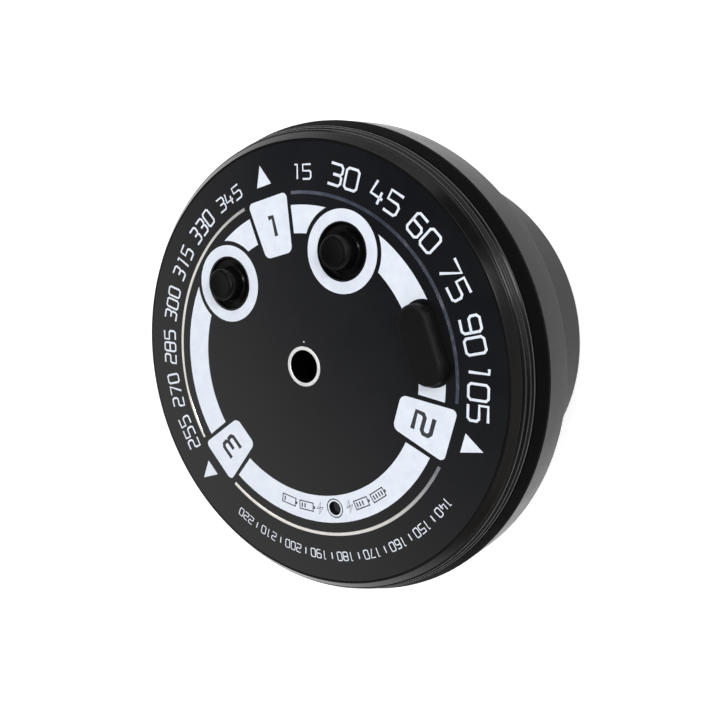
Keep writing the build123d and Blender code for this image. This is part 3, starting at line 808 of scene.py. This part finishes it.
# ---- Buttons ---------------------------------------------------------------------
# Each button is one black moulding: a dished disc just below the face, held by a rim
# under the plate, with a round stem that stands proud of it for the fingertip. A thin
# glossy bush lines its hole.
button_black = moulded("button_gloss_black", (0.0026, 0.0026, 0.0024), 0.27, 0.0015, 3.0, 0.14)
bush_black = moulded("bush_gloss_black", (0.004, 0.004, 0.004), 0.14, 0.002, 2.0)
BUTTON_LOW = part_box("button_left")[0].z / MM
BUTTON_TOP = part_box("button_left")[1].z / MM
for side, angle in BUTTON_ANGLES.items():
    spot = polar(BUTTON_RING_R, angle)
    cap = turn([
        (1.75, BUTTON_LOW), (4.2, BUTTON_LOW), (4.2, BUTTON_LOW + 0.6), (3.48, BUTTON_LOW + 0.6),
        (3.48, FACE_Z - 0.48), (3.40, FACE_Z - 0.38), (3.24, FACE_Z - 0.35), (3.02, FACE_Z - 0.44),
        (2.62, FACE_Z - 0.62), (2.38, FACE_Z - 0.60), (2.22, FACE_Z - 0.42), (2.2, FACE_Z - 0.2),
        (2.2, BUTTON_TOP - 0.42), (2.13, BUTTON_TOP - 0.17), (1.96, BUTTON_TOP - 0.04), (1.78, BUTTON_TOP),
        (1.55, BUTTON_TOP - 0.03), (0.7, BUTTON_TOP - 0.08), (0, BUTTON_TOP - 0.09),
        (0, BUTTON_LOW + 0.45), (1.75, BUTTON_LOW + 0.45),
    ], 96, spot)
    piece(f"button_cap_{side}", cap, f"{side}_button", button_black, "button_plastic", f"button_{side}")
    bush = turn([
        (3.52, FACE_Z - 0.5), (3.60, FACE_Z - 0.5), (3.60, INK_LOW), (3.76, INK_LOW), (3.76, FACE_Z + 0.03),
        (3.70, FACE_Z + 0.07), (3.60, FACE_Z + 0.07), (3.53, FACE_Z + 0.01),
    ], 96, spot)
    piece(f"button_bush_{side}", bush, "case", bush_black, "button_plastic")


# ---- Charging port ---------------------------------------------------------------
# The socket stands on the main board, a folded steel shell round a black tongue with
# gold contacts. A rubber cover plugs it, sits a little askew, and hinges on the tether
# at its upper end.
dress(metal("shell_steel", (0.66, 0.66, 0.67), 0.25), "port_shell")
dress(moulded("tongue_black", (0.020, 0.020, 0.021), 0.45), "port_contacts")

tongue_low, tongue_high = (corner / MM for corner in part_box("port_contacts"))
TONGUE_TOP = tongue_high.z
TONGUE_MIDDLE = (PORT_X + 0.35, (tongue_low.y + tongue_high.y) / 2)
contacts = []
for side in (-1, 1):
    for index in range(6):
        place = (TONGUE_MIDDLE[0] + side * 0.3, TONGUE_MIDDLE[1] + (index - 2.5) * 0.55, TONGUE_TOP - 1.5)
        contacts.append(box((0.04, 0.26, 2.4), place))
piece("contact_blades", gather(contacts), "case", metal("contact_gold", (0.95, 0.72, 0.30), 0.2), "brass")

COVER_LOW = FACE_Z + 0.02
COVER_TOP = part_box("port_cover")[1].z / MM
COVER_SIZE = (4.4, 10.0, COVER_TOP - COVER_LOW)
COVER_SHIFT, COVER_SKEW = -0.2, 5.0
TETHER_Y = 4.1
TETHER_RECESS = (1.8, 1.3, 1.0)
STOPPER_Y = -0.65
STOPPER_SIZE = (2.2, 7.1, 1.0)


def rim(bm, height):
    """The outer edges of the flat face at this height."""
    return [e for e in bm.edges if all(abs(v.co.z - height) < 0.01 for v in e.verts)
            and len(e.link_faces) == 2 and e.calc_face_angle(0) > 1]


cover = box(COVER_SIZE, (0, 0, (COVER_LOW + COVER_TOP) / 2))
round_edges(cover, uprights(cover, 1), COVER_SIZE[0] / 2 - 0.01, 20)
round_edges(cover, rim(cover, COVER_TOP), 0.62, 5)
round_edges(cover, rim(cover, COVER_LOW), 0.08, 2)
bmesh.ops.rotate(cover, matrix=Matrix.Rotation(math.radians(COVER_SKEW), 3, "Z"), verts=cover.verts)
bmesh.ops.translate(cover, vec=(PORT_X + COVER_SHIFT, 0, 0), verts=cover.verts)
cover = cut(cover, box(TETHER_RECESS, (PORT_X, TETHER_Y, COVER_LOW)))
stopper = box(STOPPER_SIZE, (PORT_X, STOPPER_Y, COVER_LOW - 0.4))
round_edges(stopper, uprights(stopper, 0.5), 0.5, 5)
cover_rubber = moulded("cover_rubber_black", (0.0035, 0.0035, 0.0034), 0.50, 0.004, 4.0, 0.14)
piece("port_cover_moulded", gather([cover, stopper]), "cover", cover_rubber, "cover_rubber", "port_cover")
dress(cover_rubber, "cover_tether")
